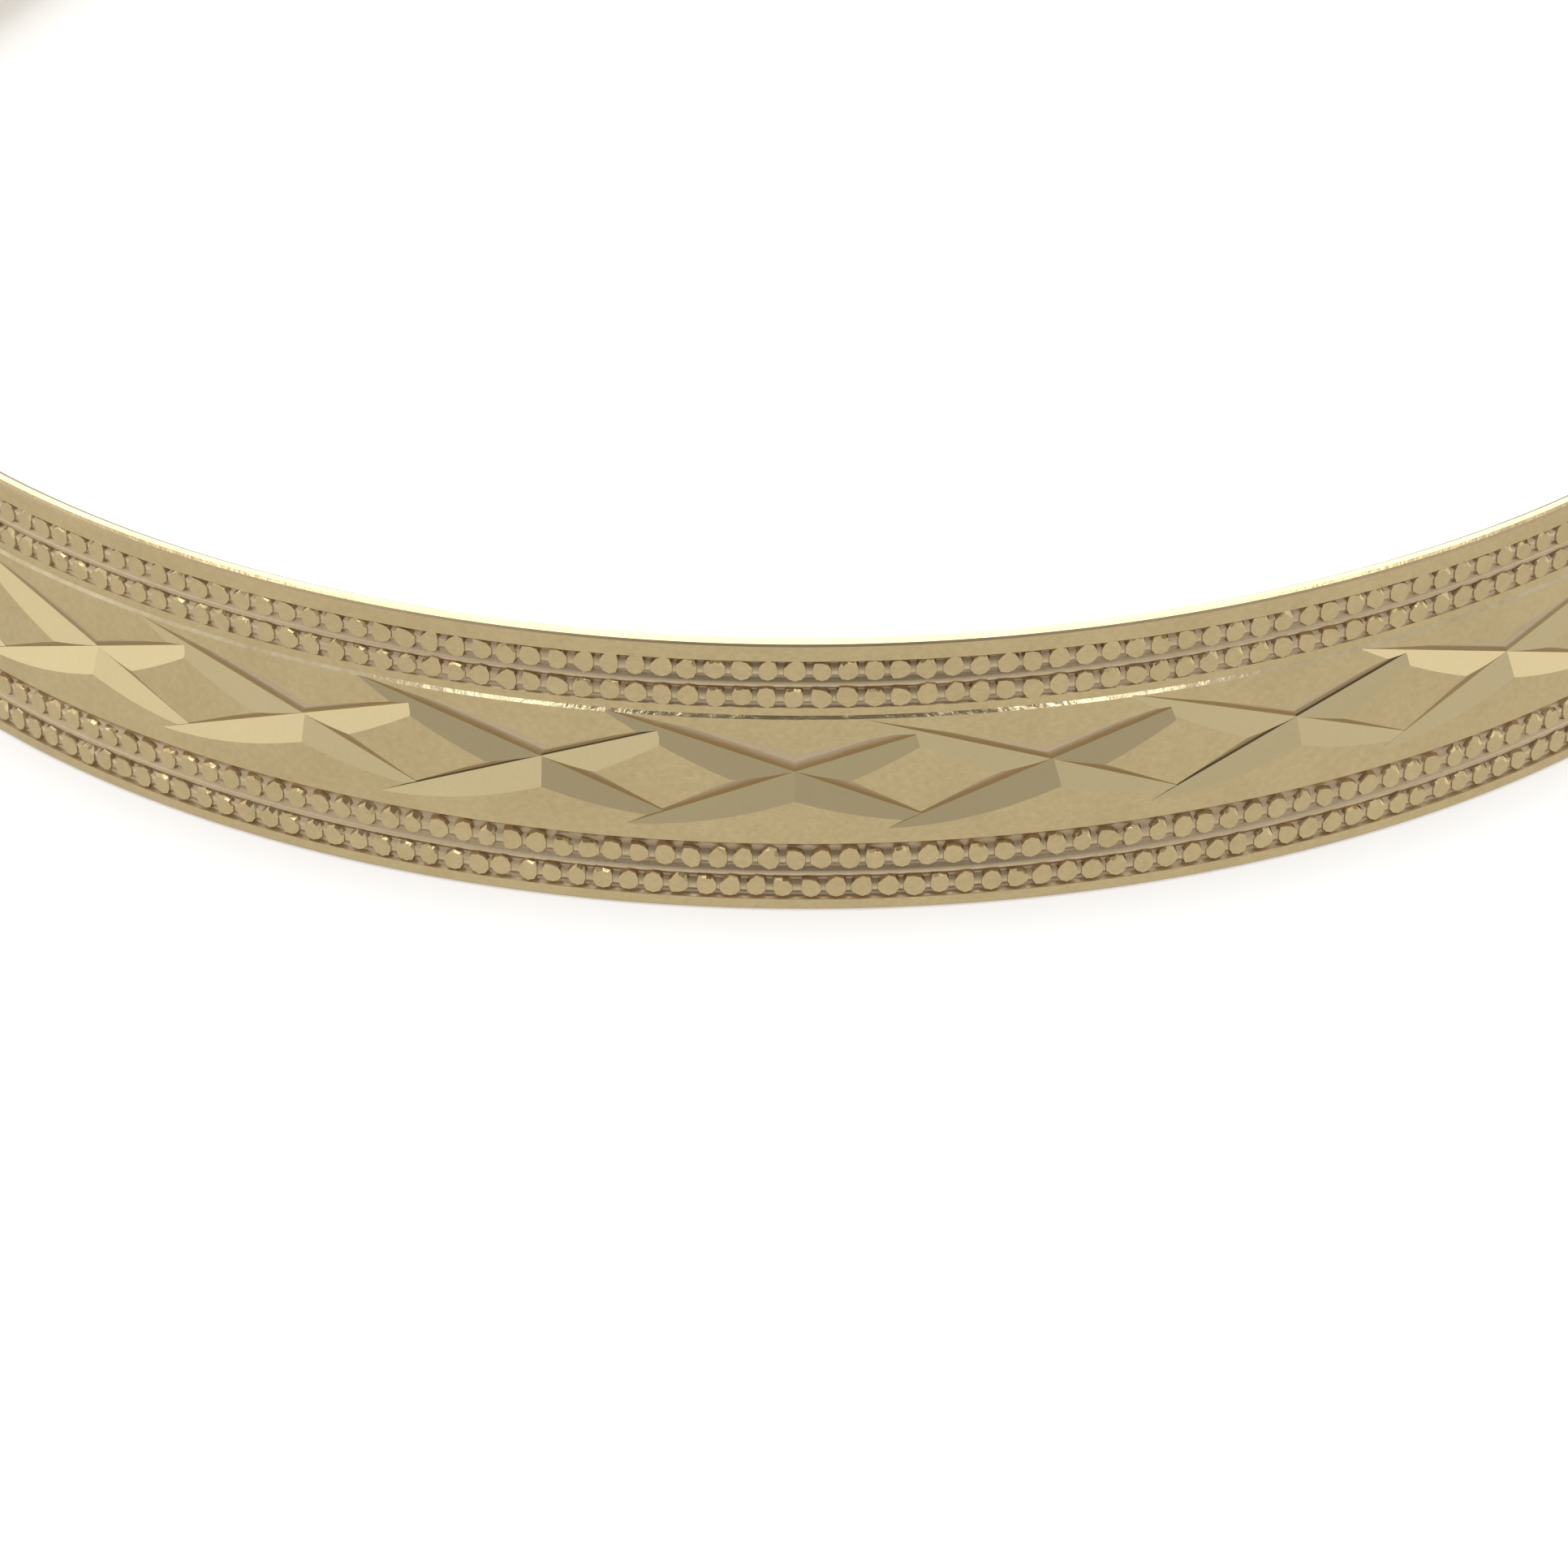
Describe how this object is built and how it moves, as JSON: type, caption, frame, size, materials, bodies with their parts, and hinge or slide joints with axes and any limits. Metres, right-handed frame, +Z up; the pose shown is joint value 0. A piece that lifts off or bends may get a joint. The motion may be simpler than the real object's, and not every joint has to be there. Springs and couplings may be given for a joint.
{
  "type": "bangle bracelet",
  "caption": "Hinged oval bangle with an engraved, bead-edged band, a pinned hinge, a box clasp with a spring tongue and a figure-of-eight safety catch.",
  "frame": {"origin": "middle of the wrist opening, half-way up the band", "axes": "+Z up through the wrist opening with the bangle lying flat; -Y is the middle of the front half; -X the hinge and +X the clasp"},
  "size_m": [0.0572, 0.066, 0.0086],
  "materials": {
    "engraved_gold": "satin ground with bright-cut facets and milgrain",
    "polished_gold": "polished",
    "spring_gold": "polished, hard-rolled"
  },
  "bodies": {
    "front_half": {"front_band": "engraved_gold", "front_lining": "polished_gold", "front_hinge_block": "polished_gold", "hinge_knuckle_top": "polished_gold", "hinge_knuckle_bottom": "polished_gold", "hinge_pin": "polished_gold", "clasp_box": "polished_gold", "clasp_plate": "polished_gold", "catch_stud": "polished_gold"},
    "back_half": {"back_band": "engraved_gold", "back_lining": "polished_gold", "back_hinge_block": "polished_gold", "hinge_knuckle_middle": "polished_gold", "tongue_block": "polished_gold", "tongue_blade": "spring_gold", "catch_eye": "polished_gold"},
    "spring_leaf": {"tongue_spring": "spring_gold"},
    "catch": {"safety_catch": "spring_gold"}
  },
  "joints": [
    {"name": "hinge_swing", "type": "hinge", "parent": "front_half", "child": "back_half", "pos_m": [-0.0273, 0, 0], "axis": [0, 0, 1], "range_deg": [0, 75]},
    {"name": "tab_press", "type": "hinge", "parent": "back_half", "child": "spring_leaf", "pos_m": [0.02685, -0.0031, 0.00055], "axis": [1, 0, 0], "range_deg": [0, 5], "stiffness_Nm_per_rad": 0.002, "springref_deg": -5.73},
    {"name": "catch_swing", "type": "hinge", "parent": "back_half", "child": "catch", "pos_m": [0.02778, 0.001, 0.00407], "axis": [1, 0, 0], "range_deg": [0, 180]}
  ]
}
